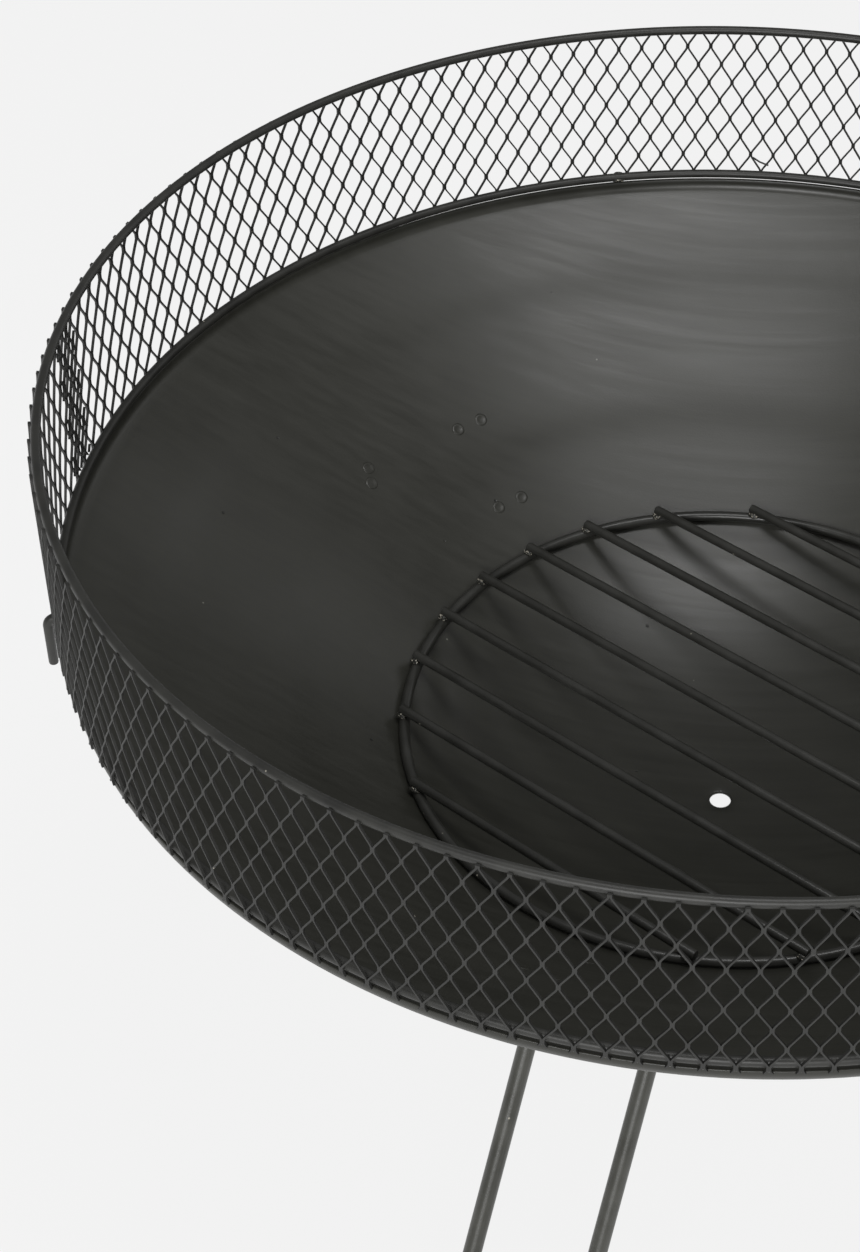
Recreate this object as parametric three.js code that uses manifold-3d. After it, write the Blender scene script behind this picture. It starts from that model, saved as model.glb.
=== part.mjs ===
// A round garden fire pit: a pressed steel bowl on three bent-rod legs, a loose grate that lies in
// the bowl, and a loose spark guard of expanded metal that hooks over the bowl's rim.
// Millimetres, +Z up. The origin is on the ground, under the centre of the bowl.
import * as THREE from 'three';
import { mergeVertices } from 'three/addons/utils/BufferGeometryUtils.js';
import Module from 'manifold-3d';

const wasm = await Module();
wasm.setup();

// ---------- driving dimensions ----------
const CLEARANCE = 0.3;              // between pieces that touch
const ROUND_SEGMENTS = 60;          // facets round everything that is centred on the bowl's axis

const BOWL_RIM_RADIUS = 350;        // inside the rim
const BOWL_RIM_HEIGHT = 396.5;      // top edge of the rim above the ground
const BOWL_SHEET = 2;
const BOWL_LIP = 5;                 // the upright strip round the rim
const BOWL_CROWN_EDGE = 178;        // where the round bottom runs into the straight wall
const BOWL_WALL_SLOPE = 36.7;       // degrees from level
const DRAIN_RADIUS = 6;

const GUARD_HEIGHT = 99.2;          // between the centres of its two rings
const GUARD_ROD = 5;                // diameter of the ring rod and of the hooks
const GUARD_GAP = 1.8;              // between the rim and the lower ring
const MESH_THICKNESS = 1.2;
const HOOK_REACH = 7;               // ring centre to the hanging part of the hook
const HOOK_DROP = 30;               // how far the hook hangs below the part that crosses the rim
const HOOK_BEND = 4.5;              // bend radius at the rod's centre
const HOOK_AZIMUTHS = [14.4, 104.4, 196, 285];

const GRATE_RADIUS = 178;           // centre of the ring rod
const GRATE_RING_ROD = 6;
const GRATE_BAR_ROD = 5.5;
const GRATE_BARS = 9;
const GRATE_EDGE_GAP = 26;          // centre of each outermost bar to the ring rod's centre line
const GRATE_OVERHANG = 2;           // bar ends past the centre of the ring rod
const GRATE_BAR_AZIMUTH = -34.7;

const LEG_COUNT = 3;
const LEG_FIRST_AZIMUTH = 11;
const LEG_ROD = 10;
const LEG_WIDTH = 66.7;             // between the centres of its two shanks
const LEG_SPLAY = 36.9;             // degrees from upright
const LEG_KNEE_REACH = 150.2;       // axis to the knee under the bowl
const LEG_ARM_REACH = 262;          // axis to the ends of the arms that lie against the wall
const LEG_BEND = 15;                // bend radius at the rod's centre
const FOOT_FLAT = 0.4;              // how much is ground off under the foot bar

const BRACKET_SHEET = 3;
const BRACKET_INNER = 192;          // axis to the plate's inner and outer edges
const BRACKET_OUTER = 264;

// ---------- the steel and its three finishes ----------
const finishes = {
  bowl: { color: 0x45453f, roughness: 0.55, metalness: 0.6 },
  rod: { color: 0x50504a, roughness: 0.45, metalness: 0.6 },
  mesh: { color: 0x5a5a55, roughness: 0.5, metalness: 0.6 },
};

// ---------- places worked out from the dimensions ----------
const degrees = Math.PI / 180;
const guardRingLow = BOWL_RIM_HEIGHT + GUARD_GAP + GUARD_ROD / 2;
const guardRingTop = guardRingLow + GUARD_HEIGHT;
const hookHeight = BOWL_RIM_HEIGHT + CLEARANCE + GUARD_ROD / 2;

// ---------- the bowl's meridian: a round crown that runs smoothly into a straight wall ----------
const wallSlope = BOWL_WALL_SLOPE * degrees;
const crownRadius = BOWL_CROWN_EDGE / Math.sin(wallSlope);
const wallFoot = BOWL_RIM_HEIGHT - BOWL_LIP - (BOWL_RIM_RADIUS - BOWL_CROWN_EDGE) * Math.tan(wallSlope);
const crownCentreHeight = wallFoot + crownRadius * Math.cos(wallSlope);

// Where the crown ends on the surface that lies `offset` outside the bowl's inner face.
function crownEdge(offset) {
  return (crownRadius + offset) * Math.sin(wallSlope);
}

// The height of that surface at a distance from the axis.
function meridianHeight(distance, offset) {
  const onCrown = Math.min(distance, crownEdge(offset));
  const height = crownCentreHeight - Math.sqrt((crownRadius + offset) ** 2 - onCrown ** 2);
  return height + (distance - onCrown) * Math.tan(wallSlope);
}

function meridianPoint(distance, offset) {
  return new THREE.Vector2(distance, meridianHeight(distance, offset));
}

// ---------- shapes ----------

// A closed outline of (distance from the axis, height) points, turned round the axis.
function revolve(outline) {
  const closed = [...outline, outline[0]];
  return new THREE.LatheGeometry(closed, ROUND_SEGMENTS).rotateX(Math.PI / 2);
}

function ring(radius, rod, height) {
  return new THREE.TorusGeometry(radius, rod / 2, 8, ROUND_SEGMENTS).translate(0, 0, height);
}

// The centre line of a bent rod: straight runs between corners, and an arc at each corner with a bend.
class RodPath extends THREE.Curve {
  constructor(corners) {
    super();
    this.points = [corners[0].point];
    for (let i = 1; i < corners.length - 1; i += 1) {
      this.turnAt(corners[i - 1].point, corners[i], corners[i + 1].point);
    }
    this.points.push(corners[corners.length - 1].point);
    this.steps = this.points.length - 1;
  }

  turnAt(before, corner, after) {
    if (!corner.bend) {
      this.points.push(corner.point);
      return;
    }
    const incoming = corner.point.clone().sub(before).normalize();
    const outgoing = after.clone().sub(corner.point).normalize();
    const turn = incoming.angleTo(outgoing);
    const setback = corner.bend * Math.tan(turn / 2);
    const start = corner.point.clone().addScaledVector(incoming, -setback);
    const inward = outgoing.clone().addScaledVector(incoming, -outgoing.dot(incoming)).normalize();
    const centre = start.clone().addScaledVector(inward, corner.bend);
    const arcs = Math.max(2, Math.round(turn / (18 * degrees)));
    for (let i = 0; i <= arcs; i += 1) {
      const angle = (turn * i) / arcs;
      const point = centre.clone().addScaledVector(inward, -corner.bend * Math.cos(angle));
      this.points.push(point.addScaledVector(incoming, corner.bend * Math.sin(angle)));
    }
  }

  getPoint(t) {
    const place = t * this.steps;
    const index = Math.min(Math.floor(place), this.steps - 1);
    return this.points[index].clone().lerp(this.points[index + 1], place - index);
  }

  getPointAt(t) {
    return this.getPoint(t);
  }

  // At a corner the rod's section halves the angle between the two runs.
  getTangentAt(t) {
    const index = Math.round(t * this.steps);
    const tangent = new THREE.Vector3();
    if (index > 0) tangent.add(this.points[index].clone().sub(this.points[index - 1]).normalize());
    if (index < this.steps) {
      tangent.add(this.points[index + 1].clone().sub(this.points[index]).normalize());
    }
    return tangent.normalize();
  }

  getSpacedPoints() {
    return this.points;
  }
}

function bentRod(corners, rod, sides) {
  const path = new RodPath(corners);
  const outline = [];
  for (let i = 0; i < sides; i += 1) {
    const angle = (2 * Math.PI * i) / sides;
    outline.push(new THREE.Vector2((rod / 2) * Math.cos(angle), (rod / 2) * Math.sin(angle)));
  }
  const section = new THREE.Shape(outline);
  return new THREE.ExtrudeGeometry(section, { steps: path.steps, extrudePath: path, bevelEnabled: false });
}

// ---------- cuts ----------
function solid(geometry) {
  const bare = geometry.clone();
  bare.deleteAttribute('normal');
  bare.deleteAttribute('uv');
  const merged = mergeVertices(bare, 1e-4);
  const vertProperties = new Float32Array(merged.attributes.position.array);
  const triVerts = new Uint32Array(merged.index.array);
  return new wasm.Manifold(new wasm.Mesh({ numProp: 3, vertProperties, triVerts }));
}

function geometryOf(body) {
  const mesh = body.getMesh();
  const geometry = new THREE.BufferGeometry();
  geometry.setAttribute('position', new THREE.BufferAttribute(new Float32Array(mesh.vertProperties), 3));
  geometry.setIndex(new THREE.BufferAttribute(new Uint32Array(mesh.triVerts), 1));
  geometry.computeVertexNormals();
  return geometry;
}

// ---------- the pieces ----------
const firePit = new THREE.Group();

function addPiece(name, geometry, finish, parent = firePit) {
  const piece = new THREE.Mesh(geometry, new THREE.MeshStandardMaterial(finishes[finish]));
  piece.name = name;
  parent.add(piece);
  return piece;
}

function turnedGroup(azimuth) {
  const group = new THREE.Group();
  group.rotation.z = azimuth * degrees;
  firePit.add(group);
  return group;
}

// The bowl: one sheet pressed round, with an upright lip and a drain hole in the middle.
function bowlGeometry() {
  const crownSteps = 9;
  const outerRim = BOWL_RIM_RADIUS + BOWL_SHEET;
  const outside = [];
  const inside = [];
  for (let i = 0; i <= crownSteps; i += 1) {
    const share = i / crownSteps;
    const outsideReach = DRAIN_RADIUS + (crownEdge(BOWL_SHEET) - DRAIN_RADIUS) * share;
    const insideReach = DRAIN_RADIUS + (BOWL_CROWN_EDGE - DRAIN_RADIUS) * share;
    outside.push(meridianPoint(outsideReach, BOWL_SHEET));
    inside.push(meridianPoint(insideReach, 0));
  }
  outside.push(meridianPoint(outerRim, BOWL_SHEET));
  outside.push(new THREE.Vector2(outerRim, BOWL_RIM_HEIGHT));
  inside.push(meridianPoint(BOWL_RIM_RADIUS, 0));
  inside.push(new THREE.Vector2(BOWL_RIM_RADIUS, BOWL_RIM_HEIGHT));
  return revolve([...outside, ...inside.reverse()]);
}
addPiece('bowl', bowlGeometry(), 'bowl');

// The spark guard: two rod rings with a sleeve of expanded metal outside them.
addPiece('guard_top_ring', ring(BOWL_RIM_RADIUS, GUARD_ROD, guardRingTop), 'rod');
addPiece('guard_bottom_ring', ring(BOWL_RIM_RADIUS, GUARD_ROD, guardRingLow), 'rod');

function meshSleeveGeometry() {
  const inner = BOWL_RIM_RADIUS + GUARD_ROD / 2 + CLEARANCE;
  const outer = inner + MESH_THICKNESS;
  const bottom = hookHeight + GUARD_ROD / 2 + CLEARANCE;
  return revolve([
    new THREE.Vector2(outer, bottom),
    new THREE.Vector2(outer, guardRingTop),
    new THREE.Vector2(inner, guardRingTop),
    new THREE.Vector2(inner, bottom),
  ]);
}
addPiece('guard_mesh', meshSleeveGeometry(), 'mesh');

// A hook crosses the rim under the lower ring, which is sunk into it, and hangs outside the bowl.
function hookGeometry(azimuth) {
  const innerEnd = BOWL_RIM_RADIUS - GUARD_ROD / 4;
  const hangs = BOWL_RIM_RADIUS + HOOK_REACH;
  const rod = bentRod([
    { point: new THREE.Vector3(innerEnd, 0, hookHeight) },
    { point: new THREE.Vector3(hangs, 0, hookHeight), bend: HOOK_BEND },
    { point: new THREE.Vector3(hangs, 0, hookHeight - HOOK_DROP) },
  ], GUARD_ROD, 8);
  rod.rotateZ(azimuth * degrees);
  const seat = ring(BOWL_RIM_RADIUS, GUARD_ROD + 2 * CLEARANCE, guardRingLow);
  return geometryOf(solid(rod).subtract(solid(seat)));
}
HOOK_AZIMUTHS.forEach((azimuth, i) => {
  addPiece(`guard_hook_${i + 1}`, hookGeometry(azimuth), 'rod');
});

// The grate: a rod ring that lies on the bowl's wall, with parallel bars across its top.
const grateRingHeight = meridianHeight(GRATE_RADIUS, -GRATE_RING_ROD / 2 - CLEARANCE);
addPiece('grate_ring', ring(GRATE_RADIUS, GRATE_RING_ROD, grateRingHeight), 'rod');

const bars = turnedGroup(GRATE_BAR_AZIMUTH);
const barHeight = grateRingHeight + GRATE_RING_ROD / 2 + CLEARANCE + GRATE_BAR_ROD / 2;
const gratePitch = 2 * (GRATE_RADIUS - GRATE_EDGE_GAP) / (GRATE_BARS - 1);
for (let i = 0; i < GRATE_BARS; i += 1) {
  const side = ((GRATE_BARS - 1) / 2 - i) * gratePitch;
  const length = 2 * Math.sqrt((GRATE_RADIUS + GRATE_OVERHANG) ** 2 - side ** 2);
  const rod = new THREE.CylinderGeometry(GRATE_BAR_ROD / 2, GRATE_BAR_ROD / 2, length, 10);
  rod.rotateZ(Math.PI / 2);
  const bar = addPiece(`grate_bar_${i + 1}`, rod, 'rod', bars);
  bar.position.set(0, side, barHeight);
}

// A leg: one rod bent to a square U. Its two arms lie straight along the outside of the wall, the
// knees turn down and outwards, and the bar between the two shanks is the foot.
function legCorners(side) {
  const armOffset = BOWL_SHEET + CLEARANCE + LEG_ROD / 2;
  const armHeight = (reach) => meridianHeight(Math.hypot(reach, side), armOffset);
  const touch = crownEdge(armOffset);
  const armSlope = (armHeight(LEG_ARM_REACH) - armHeight(touch)) / (LEG_ARM_REACH - touch);
  const kneeHeight = armHeight(touch) - (touch - LEG_KNEE_REACH) * armSlope;
  const footHeight = LEG_ROD / 2 - FOOT_FLAT;
  const footReach = LEG_KNEE_REACH + (kneeHeight - footHeight) * Math.tan(LEG_SPLAY * degrees);
  return [
    { point: new THREE.Vector3(LEG_ARM_REACH, side, armHeight(LEG_ARM_REACH)) },
    { point: new THREE.Vector3(LEG_KNEE_REACH, side, kneeHeight), bend: LEG_BEND },
    { point: new THREE.Vector3(footReach, side, footHeight), bend: LEG_BEND },
  ];
}

function legGeometry() {
  const corners = [...legCorners(LEG_WIDTH / 2), ...legCorners(-LEG_WIDTH / 2).reverse()];
  const rod = bentRod(corners, LEG_ROD, 12);
  const ground = new THREE.BoxGeometry(4 * BOWL_RIM_RADIUS, 2 * LEG_WIDTH, LEG_ROD);
  ground.translate(0, 0, -LEG_ROD / 2);
  return geometryOf(solid(rod).subtract(solid(ground)));
}

// A bracket: a plate that follows the outside of the wall between the leg's two arms.
function bracketGeometry() {
  const near = BOWL_SHEET + CLEARANCE;
  const far = near + BRACKET_SHEET;
  const outline = [
    meridianPoint(BRACKET_INNER, far),
    meridianPoint(BRACKET_OUTER, far),
    meridianPoint(BRACKET_OUTER, near),
    meridianPoint(BRACKET_INNER, near),
  ];
  const width = LEG_WIDTH - LEG_ROD - 2 * CLEARANCE;
  const strip = new THREE.BoxGeometry(BRACKET_OUTER, width, 2 * BOWL_RIM_HEIGHT);
  strip.translate(BRACKET_OUTER, 0, 0);
  return geometryOf(solid(revolve(outline)).intersect(solid(strip)));
}

for (let i = 0; i < LEG_COUNT; i += 1) {
  const place = turnedGroup(LEG_FIRST_AZIMUTH + (360 * i) / LEG_COUNT);
  addPiece(`leg_${i + 1}`, legGeometry(), 'rod', place);
  addPiece(`leg_bracket_${i + 1}`, bracketGeometry(), 'bowl', place);
}

export default firePit;
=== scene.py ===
"""A round garden fire pit: a pressed steel bowl on splayed rod legs, a loose grate and a loose spark guard.

Metres, +Z up. The origin is on the ground, under the centre of the bowl.
"""

import math

import bmesh
import bpy
from mathutils import Matrix, Vector


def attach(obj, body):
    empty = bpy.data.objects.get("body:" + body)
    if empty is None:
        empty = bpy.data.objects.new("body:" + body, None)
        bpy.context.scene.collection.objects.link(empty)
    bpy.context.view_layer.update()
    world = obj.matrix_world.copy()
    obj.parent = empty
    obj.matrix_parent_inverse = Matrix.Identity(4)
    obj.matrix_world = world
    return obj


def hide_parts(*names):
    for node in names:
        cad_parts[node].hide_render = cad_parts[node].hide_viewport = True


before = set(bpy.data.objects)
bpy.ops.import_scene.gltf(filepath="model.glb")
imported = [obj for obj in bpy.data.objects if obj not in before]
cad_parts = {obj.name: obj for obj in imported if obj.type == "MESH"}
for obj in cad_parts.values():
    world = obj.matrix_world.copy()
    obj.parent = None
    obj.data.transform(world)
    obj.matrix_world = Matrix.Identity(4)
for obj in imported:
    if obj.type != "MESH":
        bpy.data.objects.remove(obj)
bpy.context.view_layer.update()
mm = 0.001

# ---- The camera ----
# It stands in front and looks down over the near side of the guard. Part of the object is out of view.
view = bpy.data.cameras.new("view")
view.lens = 76.68
view.sensor_width = 36
view.shift_x = -0.1038
camera = bpy.data.objects.new("view", view)
bpy.context.scene.collection.objects.link(camera)
camera_turn, camera_pitch, camera_roll = 0.0858, 0.7271, 0.0074
camera.matrix_world = (
    Matrix.Translation((0, -1.076, 1.2896))
    @ Matrix.Rotation(camera_turn, 4, "Z")
    @ Matrix.Rotation(math.pi / 2 - camera_pitch, 4, "X")
    @ Matrix.Rotation(camera_roll, 4, "Z")
)
bpy.context.scene.camera = camera


# ---- The floor and the light ----
# A pale studio floor that glows, and a dim pale room. One soft box hangs overhead, a wider one stands
# behind the camera, and a weak one stands behind the object on its right.
def linear(hex_colour):
    """An sRGB colour such as "#a0b0c0" as the linear RGBA that sockets take."""
    values = [int(hex_colour[i : i + 2], 16) / 255 for i in (1, 3, 5)]
    return [v / 12.92 if v <= 0.04045 else ((v + 0.055) / 1.055) ** 2.4 for v in values] + [1]


def add_node(tree, kind, inputs=None, **settings):
    """Adds a node with its settings. An input is a value or another node's output."""
    node = tree.nodes.new(kind)
    for name, value in settings.items():
        setattr(node, name, value)
    for name, value in (inputs or {}).items():
        if isinstance(value, bpy.types.NodeSocket):
            tree.links.new(value, node.inputs[name])
        else:
            node.inputs[name].default_value = value
    return node


def new_material(name):
    material = bpy.data.materials.new(name)
    material.use_nodes = True
    material.node_tree.nodes.clear()
    return material


bpy.context.scene.view_settings.view_transform = "Standard"

world = bpy.data.worlds.new("pale room")
world.use_nodes = True
bpy.context.scene.world = world
tree = world.node_tree
tree.nodes.clear()
backdrop = add_node(tree, "ShaderNodeBackground", {"Color": linear("#f2f2f2"), "Strength": 1.0})
fill = add_node(tree, "ShaderNodeBackground", {"Color": linear("#f2f2f1"), "Strength": 0.24})
seen = add_node(tree, "ShaderNodeLightPath").outputs["Is Camera Ray"]
room = add_node(tree, "ShaderNodeMixShader", {0: seen, 1: fill.outputs[0], 2: backdrop.outputs[0]})
add_node(tree, "ShaderNodeOutputWorld", {"Surface": room.outputs[0]})

bpy.ops.object.select_all(action="DESELECT")
bpy.ops.mesh.primitive_plane_add(size=40, location=(0, 0, -0.0005))
floor = bpy.context.active_object
floor.name = "studio_floor"
floor_paint = new_material("matt white studio floor")
tree = floor_paint.node_tree
glow = add_node(tree, "ShaderNodeEmission", {"Color": linear("#f1f1f1"), "Strength": 0.975})
matt = add_node(tree, "ShaderNodeBsdfDiffuse", {"Color": linear("#4a4a4a")})
both = add_node(tree, "ShaderNodeAddShader", {0: glow.outputs[0], 1: matt.outputs[0]})
add_node(tree, "ShaderNodeOutputMaterial", {"Surface": both.outputs[0]})
floor.data.materials.append(floor_paint)


def soft_box(name, place, aim, width, height, power):
    lamp = bpy.data.lights.new(name, "AREA")
    lamp.shape = "RECTANGLE"
    lamp.size = width
    lamp.size_y = height
    lamp.energy = power
    holder = bpy.data.objects.new(name, lamp)
    bpy.context.scene.collection.objects.link(holder)
    holder.location = place
    holder.rotation_euler = (Vector(aim) - Vector(place)).to_track_quat("-Z", "Y").to_euler()


soft_box("overhead soft box", (0.28, -0.18, 2.4), (0.2, 0.1, 0.3), 1.25, 0.42, 14.3)
soft_box("front soft box", (-0.3, -3.4, 1.9), (0, 0, 0.3), 2.2, 0.9, 75)
soft_box("side soft box", (2.6, 2.4, 1.7), (-0.2, 0, 0.3), 1.8, 1.4, 6)

# ---- The bowl ----
# One round sheet of 2 mm steel, pressed to a shallow cone with a round bottom and an upright lip.
# A drain hole is punched in the middle, and the pressing has left two faint rings in the wall.
rim_radius, rim_height, lip, sheet = 350 * mm, 396.5 * mm, 5 * mm, 2 * mm
crown_edge, wall_slope, drain_radius = 178 * mm, math.radians(36.7), 6 * mm
crown_radius = crown_edge / math.sin(wall_slope)
wall_foot = rim_height - lip - (rim_radius - crown_edge) * math.tan(wall_slope)
crown_centre = wall_foot + crown_radius * math.cos(wall_slope)


def wall_height(reach, offset=0.0):
    """The height of the bowl's inner face at a distance from the axis, or of a face `offset` outside it."""
    edge = (crown_radius + offset) * math.sin(wall_slope)
    on_crown = min(reach, edge)
    height = crown_centre - math.sqrt((crown_radius + offset) ** 2 - on_crown**2)
    return height + (reach - on_crown) * math.tan(wall_slope)


press_rings = [(232.5 * mm, 9 * mm, 1.6 * mm), (304 * mm, 9 * mm, 1.6 * mm)]


def pressed(reach, offset):
    """The sheet's face with its press rings: at each the wall is steeper over a narrow band."""
    height = wall_height(reach, offset)
    way_up = min(1, max(0, (reach - crown_edge) / (rim_radius - crown_edge)))
    for radius, width, rise in press_rings:
        height += rise * (0.5 + 0.5 * math.tanh((reach - radius) / width) - way_up)
    return height


inside = [(r * mm, pressed(r * mm, 0)) for r in [7, 12, 24, 40, 58, 78, 98, 118, 138, 158, 178]]
inside += [(r * mm, pressed(r * mm, 0)) for r in range(184, 348, 4)]
fillet = [(347.6, 389.6), (348.9, 391.0), (349.7, 392.6), (350.0, 394.2), (350.0, 396.1), (350.4, 396.5)]
fillet += [(351.6, 396.5), (352.0, 396.1), (352.0, 393.4), (351.5, 391.2), (350.3, 389.3)]
outside = [(r * mm, pressed(r * mm, sheet)) for r in range(348, 180, -6)]
outside += [(r * mm, pressed(r * mm, sheet)) for r in [174, 150, 125, 100, 75, 50, 28, 12, 6.6]]
hole_break = 0.5 * mm
hole = [
    (drain_radius, wall_height(drain_radius, sheet) + hole_break),
    (drain_radius, wall_height(drain_radius) - hole_break),
]
meridian = inside + [(r * mm, z * mm) for r, z in fillet] + outside + hole

bpy.ops.object.select_all(action="DESELECT")
bpy.ops.mesh.primitive_circle_add(vertices=256, radius=inside[0][0], location=(0, 0, inside[0][1]))
bowl = bpy.context.active_object
bowl.name = "bowl_sheet"
bpy.ops.object.transform_apply(location=True, rotation=True, scale=True)
bpy.ops.object.mode_set(mode="EDIT")
bpy.ops.mesh.select_all(action="SELECT")
for (reach, height), (next_reach, next_height) in zip(meridian, meridian[1:] + meridian[:1]):
    bpy.ops.mesh.extrude_region_move(TRANSFORM_OT_translate={"value": (0, 0, next_height - height)})
    share = next_reach / reach
    bpy.ops.transform.resize(value=(share, share, 1), center_override=(0, 0, next_height))
bpy.ops.mesh.select_all(action="SELECT")
bpy.ops.mesh.remove_doubles(threshold=0.00002)
bpy.ops.mesh.normals_make_consistent(inside=False)
bpy.ops.object.mode_set(mode="OBJECT")
bpy.ops.object.shade_smooth()


def surface_height(tree, shape, strength, distance, feed=None):
    """Turns a grey pattern into relief."""
    inputs = {"Height": shape, "Strength": strength, "Distance": distance}
    if feed is not None:
        inputs["Normal"] = feed
    return add_node(tree, "ShaderNodeBump", inputs).outputs[0]


# High-temperature paint, sprayed thin on hot-rolled sheet: a dark olive grey with a soft sheen. The
# sheet's rolling marks show through as faint straight streaks, with a few small dark pits.
def sheet_paint(name, dark, light, gloss_low, gloss_high):
    material = new_material(name)
    tree = material.node_tree
    place = add_node(tree, "ShaderNodeTexCoord").outputs["Object"]
    # rolling marks are up to 200 mm long and 3 to 6 mm apart
    along = add_node(tree, "ShaderNodeMapping", {"Vector": place, "Scale": (5, 190, 60)}).outputs[0]
    streaks = add_node(
        tree, "ShaderNodeTexNoise", {"Vector": along, "Scale": 1.0, "Detail": 4.0}
    ).outputs[0]
    # the spray lies thicker and thinner in clouds about 60 mm across
    clouds = add_node(
        tree, "ShaderNodeTexNoise", {"Vector": place, "Scale": 16.0, "Detail": 5.0}
    ).outputs[0]
    # grit under the paint, about 1 mm
    grit = add_node(tree, "ShaderNodeTexNoise", {"Vector": place, "Scale": 900.0, "Detail": 2.0}).outputs[0]
    mixed = add_node(tree, "ShaderNodeMath", {0: streaks, 1: clouds}, operation="ADD").outputs[0]
    share = add_node(
        tree,
        "ShaderNodeMapRange",
        {"Value": mixed, "From Min": 0.7, "From Max": 1.3},
    ).outputs[0]
    colour = add_node(
        tree,
        "ShaderNodeMix",
        {0: share, 6: linear(dark), 7: linear(light)},
        data_type="RGBA",
    ).outputs[2]
    # pits of 1 to 2 mm, about 180 mm apart
    cells = add_node(tree, "ShaderNodeTexVoronoi", {"Vector": place, "Scale": 42.0})
    near = add_node(
        tree,
        "ShaderNodeMapRange",
        {"Value": cells.outputs["Distance"], "From Min": 0.045, "From Max": 0.02},
    ).outputs[0]
    picked = add_node(tree, "ShaderNodeSeparateColor", {"Color": cells.outputs["Color"]}).outputs["Red"]
    chosen = add_node(tree, "ShaderNodeMath", {0: picked, 1: 0.72}, operation="GREATER_THAN").outputs[0]
    pits = add_node(tree, "ShaderNodeMath", {0: near, 1: chosen}, operation="MULTIPLY").outputs[0]
    colour = add_node(
        tree,
        "ShaderNodeMix",
        {0: pits, 6: colour, 7: linear("#151513")},
        data_type="RGBA",
    ).outputs[2]
    # and a few paler specks of grit
    pale = add_node(tree, "ShaderNodeMath", {0: picked, 1: 0.16}, operation="LESS_THAN").outputs[0]
    core = add_node(
        tree,
        "ShaderNodeMapRange",
        {"Value": cells.outputs["Distance"], "From Min": 0.03, "From Max": 0.012},
    ).outputs[0]
    grains = add_node(tree, "ShaderNodeMath", {0: core, 1: pale}, operation="MULTIPLY").outputs[0]
    colour = add_node(
        tree,
        "ShaderNodeMix",
        {0: grains, 6: colour, 7: linear("#7d7d74")},
        data_type="RGBA",
    ).outputs[2]
    gloss = add_node(
        tree,
        "ShaderNodeMapRange",
        {"Value": streaks, "From Min": 0.3, "From Max": 0.7, "To Min": gloss_low, "To Max": gloss_high},
    ).outputs[0]
    relief = surface_height(tree, streaks, 0.08, 0.0006)
    relief = surface_height(tree, grit, 0.10, 0.0003, relief)
    sunk = add_node(tree, "ShaderNodeMath", {0: 1.0, 1: pits}, operation="SUBTRACT").outputs[0]
    relief = surface_height(tree, sunk, 0.5, 0.0004, relief)
    steel = add_node(
        tree,
        "ShaderNodeBsdfPrincipled",
        {"Base Color": colour, "Roughness": gloss, "Normal": relief, "IOR": 1.5},
    )
    add_node(tree, "ShaderNodeOutputMaterial", {"Surface": steel.outputs[0]})
    return material


bowl_paint = sheet_paint("high-temperature paint on rolled sheet", "#2f2f2a", "#383833", 0.33, 0.41)
bowl.data.materials.append(bowl_paint)
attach(bowl, "pit")
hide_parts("bowl")

# ---- The leg brackets ----
# Three 3 mm steel plates, curved to the outside of the wall and spot-welded to it between the legs' arms.
# Each weld has left a small dished ring on the inside of the bowl.
# the gap stands for the weld between two pieces
gap = 0.3 * mm
leg_turns = [math.radians(11 + 120 * i) for i in range(3)]
bracket_inner, bracket_outer, bracket_width, bracket_sheet = 192 * mm, 264 * mm, 56.1 * mm, 3 * mm


def turned_copy(piece, name, angle):
    """A copy with its own mesh, turned about the bowl's axis."""
    bpy.ops.object.select_all(action="DESELECT")
    copy = piece.copy()
    copy.data = piece.data.copy()
    copy.name = name
    bpy.context.scene.collection.objects.link(copy)
    copy.rotation_euler.z = angle
    copy.select_set(True)
    bpy.context.view_layer.objects.active = copy
    bpy.ops.object.transform_apply(location=True, rotation=True, scale=True)
    return copy


def finish_with(piece, kind, **settings):
    """Adds a modifier and applies it."""
    bpy.ops.object.select_all(action="DESELECT")
    piece.select_set(True)
    bpy.context.view_layer.objects.active = piece
    modifier = piece.modifiers.new(kind.title(), kind)
    for name, value in settings.items():
        setattr(modifier, name, value)
    bpy.ops.object.modifier_apply(modifier=modifier.name)


bpy.ops.object.select_all(action="DESELECT")
bpy.ops.mesh.primitive_grid_add(x_subdivisions=8, y_subdivisions=8, size=1)
plate = bpy.context.active_object
plate.scale = (bracket_outer - bracket_inner, bracket_width, 1)
plate.location.x = (bracket_inner + bracket_outer) / 2
bpy.ops.object.transform_apply(location=True, rotation=True, scale=True)
for corner in plate.data.vertices:
    corner.co.z = wall_height(math.hypot(corner.co.x, corner.co.y), sheet + gap + bracket_sheet)
finish_with(plate, "SOLIDIFY", thickness=bracket_sheet, offset=1.0)
finish_with(plate, "BEVEL", width=0.5 * mm, segments=2, limit_method="ANGLE", angle_limit=math.radians(50))
bpy.ops.object.shade_smooth_by_angle(angle=math.radians(35))
bracket_paint = sheet_paint("high-temperature paint on bracket plate", "#33332d", "#403f39", 0.45, 0.55)
plate.data.materials.append(bracket_paint)
for number, turn in enumerate(leg_turns, 1):
    bracket = turned_copy(plate, f"bracket_plate_{number}", turn)
    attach(bracket, "pit")
    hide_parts(f"leg_bracket_{number}")
bpy.data.objects.remove(plate)

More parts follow.
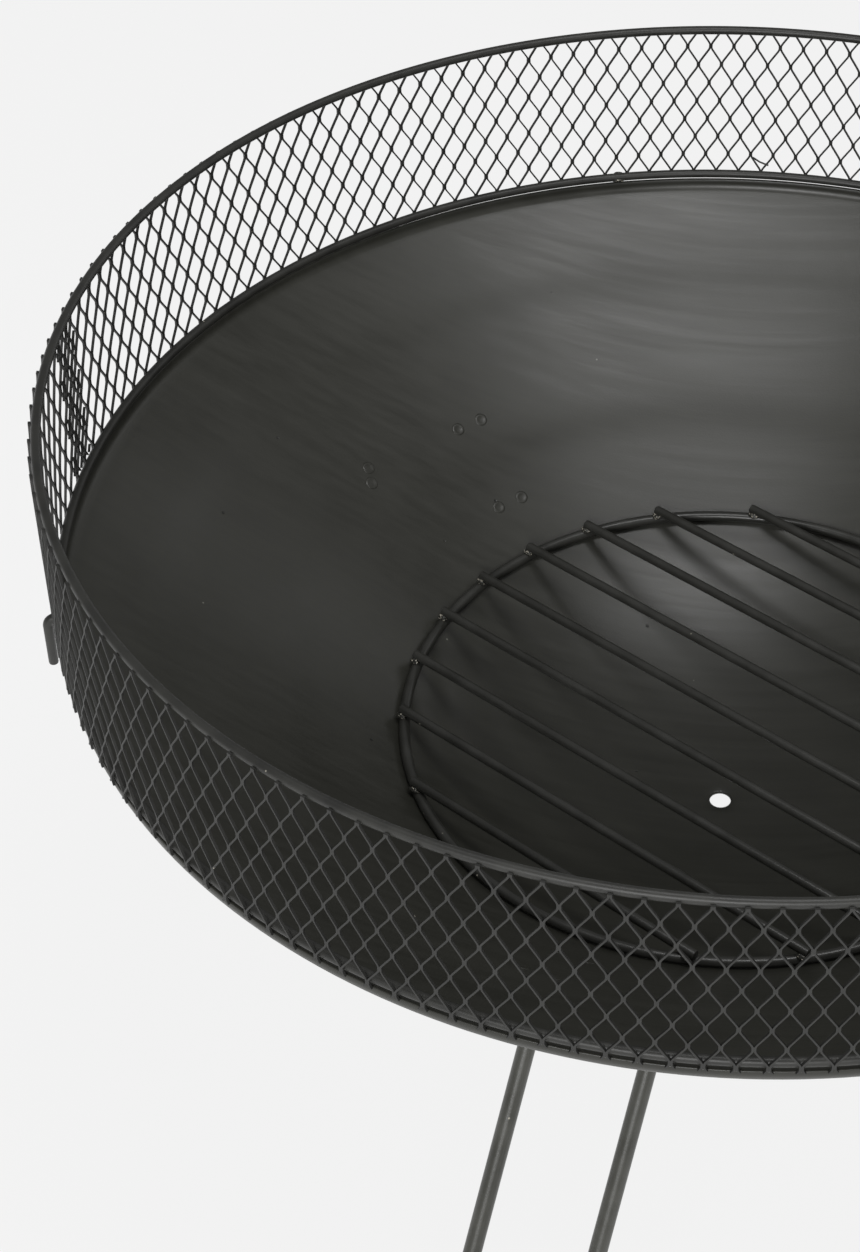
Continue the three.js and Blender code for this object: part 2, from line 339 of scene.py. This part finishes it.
# a weld mark, lying flat at the origin: a raised ring about a shallow dish
weld_profile = [(4.1, -0.15), (3.6, 0.2), (2.9, 0.34), (2.2, 0.2), (1.3, 0.06), (0.5, 0.04)]
bpy.ops.object.select_all(action="DESELECT")
outer_reach, outer_height = weld_profile[0]
bpy.ops.mesh.primitive_circle_add(
    vertices=20, radius=outer_reach * mm, location=(0, 0, outer_height * mm)
)
weld_mark = bpy.context.active_object
bpy.ops.object.transform_apply(location=True, rotation=True, scale=True)
bpy.ops.object.mode_set(mode="EDIT")
bpy.ops.mesh.select_all(action="SELECT")
for (reach, height), (next_reach, next_height) in zip(weld_profile, weld_profile[1:]):
    bpy.ops.mesh.extrude_region_move(TRANSFORM_OT_translate={"value": (0, 0, (next_height - height) * mm)})
    share = next_reach / reach
    bpy.ops.transform.resize(value=(share, share, 1), center_override=(0, 0, next_height * mm))
bpy.ops.mesh.edge_face_add()
bpy.ops.mesh.select_all(action="SELECT")
bpy.ops.mesh.fill_holes(sides=0)
bpy.ops.mesh.normals_make_consistent(inside=False)
bpy.ops.object.mode_set(mode="OBJECT")
bpy.ops.object.shade_smooth()
mark_places = [
    (reach * mm, turn + side * 8.25 * mm / (reach * mm))
    for turn in leg_turns
    for reach in (208, 250)
    for side in (-1, 1)
]
# a pair of stray marks, off any bracket
mark_places += [(256 * mm, math.radians(148.0)), (249.5 * mm, math.radians(149.2))]
marks = []
for reach, turn in mark_places:
    mark = weld_mark.copy()
    mark.data = weld_mark.data.copy()
    bpy.context.scene.collection.objects.link(mark)
    out = Vector((math.cos(turn), math.sin(turn), 0))
    mark.location = out * reach + Vector((0, 0, pressed(reach, 0)))
    wall_normal = out * -math.sin(wall_slope) + Vector((0, 0, math.cos(wall_slope)))
    mark.rotation_euler = wall_normal.to_track_quat("Z", "Y").to_euler()
    marks.append(mark)
bpy.data.objects.remove(weld_mark)
bpy.ops.object.select_all(action="DESELECT")
for mark in marks:
    mark.select_set(True)
bpy.context.view_layer.objects.active = marks[0]
bpy.ops.object.join()
bpy.ops.object.transform_apply(location=True, rotation=True, scale=True)
weld_marks = bpy.context.active_object
weld_marks.name = "bowl_weld_marks"
weld_marks.data.materials.append(bowl_paint)
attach(weld_marks, "pit")

# ---- The legs ----
# Each leg is one 10 mm rod bent to a square hairpin. Its two arms lie along the wall, and the bar
# between the two shanks is the foot, ground flat underneath.
leg_rod, leg_side, leg_bend = 10 * mm, 33.35 * mm, 15 * mm
knee_reach, arm_reach, leg_splay, foot_height = 150.2 * mm, 262 * mm, math.radians(36.9), 4.6 * mm


def bent_rod(name, corners, diameter, bend, sides, end_round):
    """A round rod drawn through the corners, with a turn of radius `bend` at each, and rounded ends."""
    points = [Vector(corner) for corner in corners]
    heading = (points[1] - points[0]).normalized()
    bpy.ops.object.select_all(action="DESELECT")
    bpy.ops.mesh.primitive_circle_add(vertices=sides, radius=diameter / 2)
    rod = bpy.context.active_object
    rod.name = name
    rod.location = points[0]
    rod.rotation_euler = heading.to_track_quat("Z", "Y").to_euler()
    bpy.ops.object.transform_apply(location=True, rotation=True, scale=True)
    bpy.ops.object.mode_set(mode="EDIT")
    bpy.ops.mesh.select_mode(type="VERT")
    bpy.ops.mesh.select_all(action="SELECT")
    at = points[0]
    for before, corner, after in zip(points, points[1:], points[2:]):
        incoming = (corner - before).normalized()
        outgoing = (after - corner).normalized()
        turn = incoming.angle(outgoing)
        setback = bend * math.tan(turn / 2)
        start = corner - incoming * setback
        bpy.ops.mesh.extrude_region_move(TRANSFORM_OT_translate={"value": start - at})
        inward = (outgoing - incoming * outgoing.dot(incoming)).normalized()
        bpy.ops.mesh.spin(
            steps=max(4, round(turn / math.radians(9))),
            angle=-turn,
            center=start + inward * bend,
            axis=incoming.cross(inward),
        )
        at = corner + outgoing * setback
    bpy.ops.mesh.extrude_region_move(TRANSFORM_OT_translate={"value": points[-1] - at})
    bpy.ops.mesh.select_all(action="SELECT")
    bpy.ops.mesh.remove_doubles(threshold=0.00001)
    bpy.ops.mesh.fill_holes(sides=0)
    bpy.ops.mesh.normals_make_consistent(inside=False)
    bpy.ops.object.mode_set(mode="OBJECT")
    sharp = math.radians(50)
    finish_with(rod, "BEVEL", width=end_round, segments=3, limit_method="ANGLE", angle_limit=sharp)
    bpy.ops.object.shade_smooth_by_angle(angle=math.radians(45))
    return rod


arm_offset = sheet + gap + leg_rod / 2
touch = (crown_radius + arm_offset) * math.sin(wall_slope)
arm_end, arm_touch = (wall_height(math.hypot(reach, leg_side), arm_offset) for reach in (arm_reach, touch))
knee_height = arm_touch - (touch - knee_reach) * (arm_end - arm_touch) / (arm_reach - touch)
foot_reach = knee_reach + (knee_height - foot_height) * math.tan(leg_splay)
half_leg = [(arm_reach, arm_end), (knee_reach, knee_height), (foot_reach, foot_height)]
leg_corners = [(reach, leg_side, height) for reach, height in half_leg]
leg_corners += [(reach, -leg_side, height) for reach, height in reversed(half_leg)]
hairpin = bent_rod("hairpin", leg_corners, leg_rod, leg_bend, 20, 0.8 * mm)
bpy.ops.object.mode_set(mode="EDIT")
bpy.ops.mesh.select_all(action="SELECT")
bpy.ops.mesh.bisect(plane_co=(0, 0, 0), plane_no=(0, 0, 1), clear_inner=True, use_fill=True)
bpy.ops.object.mode_set(mode="OBJECT")


# The same paint on drawn round rod: smoother than the sheet, with the orange peel of the spray, cloudy
# changes of tone and a rare bare speck where it is chipped.
def rod_paint(name, dark, light, gloss_low, gloss_high):
    material = new_material(name)
    tree = material.node_tree
    place = add_node(tree, "ShaderNodeTexCoord").outputs["Object"]
    clouds = add_node(
        tree, "ShaderNodeTexNoise", {"Vector": place, "Scale": 60.0, "Detail": 4.0}
    ).outputs[0]
    # orange peel of the spray, 1 to 1.5 mm
    peel = add_node(tree, "ShaderNodeTexNoise", {"Vector": place, "Scale": 700.0, "Detail": 2.0}).outputs[0]
    share = add_node(
        tree, "ShaderNodeMapRange", {"Value": clouds, "From Min": 0.35, "From Max": 0.65}
    ).outputs[0]
    colour = add_node(
        tree,
        "ShaderNodeMix",
        {0: share, 6: linear(dark), 7: linear(light)},
        data_type="RGBA",
    ).outputs[2]
    gloss = add_node(
        tree,
        "ShaderNodeMapRange",
        {"Value": clouds, "From Min": 0.3, "From Max": 0.7, "To Min": gloss_low, "To Max": gloss_high},
    ).outputs[0]
    relief = surface_height(tree, peel, 0.15, 0.0003)
    # bare specks of about 1 mm, one in each half metre or so of rod
    cells = add_node(tree, "ShaderNodeTexVoronoi", {"Vector": place, "Scale": 90.0})
    near = add_node(
        tree,
        "ShaderNodeMapRange",
        {"Value": cells.outputs["Distance"], "From Min": 0.065, "From Max": 0.03},
    ).outputs[0]
    picked = add_node(tree, "ShaderNodeSeparateColor", {"Color": cells.outputs["Color"]}).outputs["Red"]
    chosen = add_node(tree, "ShaderNodeMath", {0: picked, 1: 0.8}, operation="GREATER_THAN").outputs[0]
    specks = add_node(tree, "ShaderNodeMath", {0: near, 1: chosen}, operation="MULTIPLY").outputs[0]
    colour = add_node(
        tree,
        "ShaderNodeMix",
        {0: specks, 6: colour, 7: linear("#b9b4a6")},
        data_type="RGBA",
    ).outputs[2]
    steel = add_node(
        tree,
        "ShaderNodeBsdfPrincipled",
        {"Base Color": colour, "Roughness": gloss, "Normal": relief, "IOR": 1.5},
    )
    add_node(tree, "ShaderNodeOutputMaterial", {"Surface": steel.outputs[0]})
    return material


# The legs take a much lighter tone of the same paint than the other rods: a painted highlight that stands
# in for the bright streak the front light lays along them.
leg_paint_with_painted_highlight = rod_paint("high-temperature paint on leg rod", "#464641", "#53534e", 0.3, 0.38)
hairpin.data.materials.append(leg_paint_with_painted_highlight)
for number, turn in enumerate(leg_turns, 1):
    leg = turned_copy(hairpin, f"leg_hairpin_{number}", turn)
    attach(leg, "pit")
    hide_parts(f"leg_{number}")
bpy.data.objects.remove(hairpin)

# ---- The guard's rings ----
# Two rings of 5 mm rod, rolled and butt-welded, with the joint a little swollen.
guard_radius, guard_rod = 350 * mm, 5 * mm
top_ring_height, low_ring_height = 500 * mm, 400.8 * mm


def rolled_ring(name, radius, diameter, height, joint_turn, major, minor):
    bpy.ops.object.select_all(action="DESELECT")
    bpy.ops.mesh.primitive_torus_add(
        major_radius=radius,
        minor_radius=diameter / 2,
        major_segments=major,
        minor_segments=minor,
        location=(0, 0, height),
    )
    ring = bpy.context.active_object
    ring.name = name
    bpy.ops.object.transform_apply(location=True, rotation=True, scale=True)
    joint = Vector((math.cos(joint_turn), math.sin(joint_turn), 0)) * radius + Vector((0, 0, height))
    swelling, reach_along = 0.25 * mm, 4 * mm
    for vertex in ring.data.vertices:
        near = math.exp(-(((vertex.co - joint).length / reach_along) ** 2))
        vertex.co += vertex.normal * near * swelling
        # the joint is ground flush on top
        vertex.co.z = min(vertex.co.z, height + diameter / 2)
    bpy.ops.object.shade_smooth()
    return ring


ring_paint = rod_paint("high-temperature paint on guard rod", "#282826", "#333330", 0.4, 0.48)
for name, height, joint_turn, node in (
    ("guard_ring_upper", top_ring_height, math.radians(182), "guard_top_ring"),
    ("guard_ring_lower", low_ring_height, math.radians(150), "guard_bottom_ring"),
):
    ring = rolled_ring(name, guard_radius, guard_rod, height, joint_turn, 288, 16)
    ring.data.materials.append(ring_paint)
    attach(ring, "guard")
    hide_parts(node)

# ---- The guard's mesh ----
# A band of expanded steel: diamonds 13.9 mm wide and 24.8 mm high, 160 of them round the guard, with
# a thicker knuckle where two strands part. It is tacked to the outsides of both rings.
mesh_radius, strand, mesh_thickness = 353.3 * mm, 1.35 * mm, 1.2 * mm
columns, row_drop = 160, 12.4 * mm
half_pitch = math.pi / columns
half_width = mesh_radius * math.tan(half_pitch)


def select_faces(piece, wanted):
    """Selects the faces whose centre and normal pass the test. Edit mode, face selection."""
    bpy.ops.mesh.select_mode(type="FACE")
    bpy.ops.mesh.select_all(action="DESELECT")
    sheet_mesh = bmesh.from_edit_mesh(piece.data)
    for face in sheet_mesh.faces:
        if wanted(face.calc_center_median(), face.normal):
            face.select_set(True)
    bmesh.update_edit_mesh(piece.data)


# one knuckle with its four half strands, on the ring's +X side at the height of the upper ring
knuckle_width, knuckle_height = strand * 1.55, 2.6 * mm
bpy.ops.object.select_all(action="DESELECT")
bpy.ops.mesh.primitive_cube_add(size=1, location=(mesh_radius, 0, top_ring_height))
knuckle = bpy.context.active_object
knuckle.name = "knuckle"
knuckle.scale = (mesh_thickness * 1.05, knuckle_width, knuckle_height)
bpy.ops.object.transform_apply(location=True, rotation=True, scale=True)
bpy.ops.object.mode_set(mode="EDIT")
bpy.ops.mesh.select_all(action="SELECT")
bpy.ops.mesh.bisect(plane_co=(mesh_radius, 0, 0), plane_no=(0, 1, 0))
for side in (-1, 1):
    for rise in (-1, 1):
        select_faces(
            knuckle,
            lambda centre, normal: normal.z * rise > 0.9
            and centre.y * side > 0
            and abs(centre.z - top_ring_height) < knuckle_height / 2 + 0.1 * mm,
        )
        start = Vector((mesh_radius, side * knuckle_width / 4, top_ring_height + rise * knuckle_height / 2))
        # a strand's bend and its middle, as shares of half a diamond's width and of the row drop
        for across, down in ((0.165, 0.21), (0.5, 0.5)):
            goal_height = top_ring_height + rise * row_drop * down
            goal = Vector((mesh_radius, side * half_width * across, goal_height))
            bpy.ops.mesh.extrude_region_move(TRANSFORM_OT_translate={"value": goal - start})
            start = goal
select_faces(
    knuckle,
    lambda centre, normal: abs(normal.z) > 0.9
    and abs(abs(centre.z - top_ring_height) - row_drop / 2) < 0.1 * mm,
)
bpy.ops.mesh.delete(type="ONLY_FACE")
bpy.ops.object.mode_set(mode="OBJECT")
shifted = turned_copy(knuckle, "knuckle_shifted", half_pitch)
shifted.data.transform(Matrix.Translation((0, 0, -row_drop)))
for column, rows in ((knuckle, 5), (shifted, 4)):
    finish_with(
        column,
        "ARRAY",
        count=rows,
        use_relative_offset=False,
        use_constant_offset=True,
        constant_offset_displace=(0, 0, -2 * row_drop),
    )
bpy.ops.object.select_all(action="DESELECT")
knuckle.select_set(True)
shifted.select_set(True)
bpy.context.view_layer.objects.active = knuckle
bpy.ops.object.join()
strands = bpy.context.active_object
strands.name = "guard_mesh_strands"
seam = turned_copy(strands, "guard_mesh_seam", math.radians(177.2))
bpy.ops.object.select_all(action="DESELECT")
strands.select_set(True)
bpy.context.view_layer.objects.active = strands
bpy.ops.object.mode_set(mode="EDIT")
bpy.ops.mesh.select_all(action="SELECT")
bpy.ops.mesh.spin(
    steps=columns - 1,
    dupli=True,
    angle=2 * math.pi * (columns - 1) / columns,
    center=(0, 0, 0),
    axis=(0, 0, 1),
)
bpy.ops.mesh.select_all(action="SELECT")
bpy.ops.mesh.remove_doubles(threshold=0.05 * mm)
mesh_foot, mesh_top = 397.2 * mm, top_ring_height + 0.2 * mm
bpy.ops.mesh.bisect(plane_co=(0, 0, mesh_top), plane_no=(0, 0, 1), clear_outer=True)
bpy.ops.mesh.select_all(action="SELECT")
bpy.ops.mesh.bisect(plane_co=(0, 0, mesh_foot), plane_no=(0, 0, 1), clear_inner=True)
bpy.ops.mesh.select_all(action="SELECT")
bpy.ops.mesh.fill_holes(sides=0)
bpy.ops.mesh.normals_make_consistent(inside=False)
bpy.ops.object.mode_set(mode="OBJECT")
bpy.ops.object.shade_smooth_by_angle(angle=math.radians(40))

# The band's two ends overlap on the left: a strip of two more columns inside it, with cut ends.
# One cut strand is bent in at the back.
seam_foot, seam_top = 403.6 * mm, 497.2 * mm
seam_share = (mesh_radius - mesh_thickness) / mesh_radius
seam.data.transform(Matrix.Diagonal((seam_share, seam_share, 1, 1)))
bpy.ops.object.select_all(action="DESELECT")
seam.select_set(True)
bpy.context.view_layer.objects.active = seam
bpy.ops.object.mode_set(mode="EDIT")
bpy.ops.mesh.select_all(action="SELECT")
bpy.ops.mesh.spin(steps=1, dupli=True, angle=2 * half_pitch, center=(0, 0, 0), axis=(0, 0, 1))
bpy.ops.mesh.select_all(action="SELECT")
bpy.ops.mesh.remove_doubles(threshold=0.05 * mm)
bpy.ops.mesh.bisect(plane_co=(0, 0, seam_top), plane_no=(0, 0, 1), clear_outer=True)
bpy.ops.mesh.select_all(action="SELECT")
bpy.ops.mesh.bisect(plane_co=(0, 0, seam_foot), plane_no=(0, 0, 1), clear_inner=True)
bpy.ops.mesh.select_all(action="SELECT")
bpy.ops.mesh.fill_holes(sides=0)
bpy.ops.mesh.normals_make_consistent(inside=False)
bpy.ops.object.mode_set(mode="OBJECT")
bpy.ops.object.shade_smooth_by_angle(angle=math.radians(40))
loose_corners = [(-5.5, 352.4, 411.6), (-1.0, 350.4, 409.8), (4.5, 349.2, 408.4)]
loose_corners = [Vector(corner) * mm for corner in loose_corners]
loose_end = bent_rod("loose_strand_end", loose_corners, 1.1 * mm, 3 * mm, 8, 0.2 * mm)
loose_end.select_set(True)
seam.select_set(True)
bpy.context.view_layer.objects.active = seam
bpy.ops.object.join()

mesh_paint = rod_paint("high-temperature paint on expanded metal", "#252523", "#30302e", 0.5, 0.6)
strands.data.materials.append(mesh_paint)
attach(strands, "guard")
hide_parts("guard_mesh")
seam.data.materials.append(mesh_paint)
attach(seam, "guard")

# ---- The guard's hooks ----
# Four short pieces of the same rod, welded under the lower ring. Each crosses the bowl's rim and
# turns down outside it, and keeps the guard centred.
hook_height, hook_drop, hook_out = 399.3 * mm, 30 * mm, 357 * mm
hook_in = guard_radius - guard_rod / 4
hook_corners = [
    (hook_in, 0, hook_height),
    (hook_out, 0, hook_height),
    (hook_out, 0, hook_height - hook_drop),
]
hook_bend, hook_end_round = 4.5 * mm, 0.9 * mm
hook = bent_rod("hook", hook_corners, guard_rod, hook_bend, 16, hook_end_round)
hook.data.materials.append(ring_paint)
hook_turns = [math.radians(turn) for turn in (14.4, 104.4, 196, 285)]
for number, turn in enumerate(hook_turns, 1):
    piece = turned_copy(hook, f"guard_hook_rod_{number}", turn)
    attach(piece, "guard")
    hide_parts(f"guard_hook_{number}")
bpy.data.objects.remove(hook)


def weld_beads(name, places, long, wide, high):
    """Lumpy weld beads, joined in one piece. A place is a centre and the bead's direction in plan."""
    beads = []
    for number, (centre, turn) in enumerate(places):
        bpy.ops.object.select_all(action="DESELECT")
        bpy.ops.mesh.primitive_ico_sphere_add(subdivisions=3, radius=1, location=(0, 0, 0))
        bead = bpy.context.active_object
        beads.append(bead)
        for vertex in bead.data.vertices:
            x, y, z = vertex.co
            lump = math.sin(3.1 * x + number) * math.sin(4.3 * y + 2 * number)
            lump += math.sin(5.3 * z + 3 * number)
            vertex.co *= 1 + 0.11 * lump
        bead.data.transform(Matrix.Diagonal((long, wide, high, 1)))
        bead.data.transform(Matrix.Translation(centre) @ Matrix.Rotation(turn, 4, "Z"))
    bpy.ops.object.select_all(action="DESELECT")
    for bead in beads:
        bead.select_set(True)
    bpy.context.view_layer.objects.active = beads[0]
    bpy.ops.object.join()
    joined = bpy.context.active_object
    joined.name = name
    bpy.ops.object.shade_smooth()
    return joined


# Weld metal under the same paint, burnt off in spots that show bare steel.
bead_paint = new_material("painted weld metal")
tree = bead_paint.node_tree
place = add_node(tree, "ShaderNodeTexCoord").outputs["Object"]
# spots of about 1 mm
spots = add_node(
    tree, "ShaderNodeTexNoise", {"Vector": place, "Scale": 900.0, "Detail": 2.0}
).outputs[0]
bare = add_node(
    tree, "ShaderNodeMapRange", {"Value": spots, "From Min": 0.58, "From Max": 0.63}
).outputs[0]
colour = add_node(
    tree, "ShaderNodeMix", {0: bare, 6: linear("#30302c"), 7: linear("#c4beb0")}, data_type="RGBA"
).outputs[2]
relief = surface_height(tree, spots, 0.4, 0.0004)
metal = add_node(
    tree,
    "ShaderNodeBsdfPrincipled",
    {"Base Color": colour, "Roughness": 0.42, "Normal": relief, "IOR": 1.5},
)
add_node(tree, "ShaderNodeOutputMaterial", {"Surface": metal.outputs[0]})

# two at each hook: one on the ring's inner side and one on its outer side
bead_places = []
for turn in hook_turns:
    for reach, height in ((347.9 * mm, 400.0 * mm), (352.6 * mm, 401.6 * mm)):
        centre = Vector((math.cos(turn) * reach, math.sin(turn) * reach, height))
        bead_places.append((centre, turn + math.pi / 2))
hook_beads = weld_beads("guard_hook_welds", bead_places, 3.2 * mm, 1.2 * mm, 1.1 * mm)
hook_beads.data.materials.append(bead_paint)
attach(hook_beads, "guard")

# ---- The grate ----
# A ring of 6 mm rod with nine straight 5.5 mm rods laid across it, 38 mm apart, each fused to the
# ring at both ends.
grate_radius, grate_rod, bar_rod = 178 * mm, 6 * mm, 5.5 * mm
grate_height = wall_height(grate_radius, -grate_rod / 2 - gap)
bar_height = grate_height + grate_rod / 2 + bar_rod / 2
bar_turn = math.radians(-34.7)
grate_paint = rod_paint("high-temperature paint on grate rod", "#2e2e2b", "#383835", 0.28, 0.36)
bead_places = []
grate_ring = rolled_ring("grate_hoop", grate_radius, grate_rod, grate_height, math.radians(60), 192, 16)
grate_ring.data.materials.append(grate_paint)
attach(grate_ring, "grate")
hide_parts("grate_ring")
bars, bar_pitch, overhang, bar_end_round = 9, 38 * mm, 2 * mm, 0.7 * mm
bead_side, bead_rise = 2.8 * mm, grate_rod / 2 + 0.6 * mm
for number in range(1, bars + 1):
    side = ((bars + 1) / 2 - number) * bar_pitch
    half = math.sqrt((grate_radius + overhang) ** 2 - side**2)
    bar = bent_rod(
        f"grate_rod_{number}",
        [(-half, side, bar_height), (half, side, bar_height)],
        bar_rod,
        0,
        16,
        bar_end_round,
    )
    bar.rotation_euler.z = bar_turn
    bpy.ops.object.transform_apply(location=True, rotation=True, scale=True)
    bar.data.materials.append(grate_paint)
    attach(bar, "grate")
    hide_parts(f"grate_bar_{number}")
    crossing = math.sqrt(grate_radius**2 - side**2)
    for end in (-1, 1):
        for flank in (-1, 1):
            spot = Vector((end * crossing, side + flank * bead_side, grate_height + bead_rise))
            bead_places.append((Matrix.Rotation(bar_turn, 4, "Z") @ spot, bar_turn))
# a short bead on each flank of a bar where it crosses the ring
grate_beads = weld_beads("grate_welds", bead_places, 3.0 * mm, 1.6 * mm, 1.6 * mm)
grate_beads.data.materials.append(bead_paint)
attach(grate_beads, "grate")
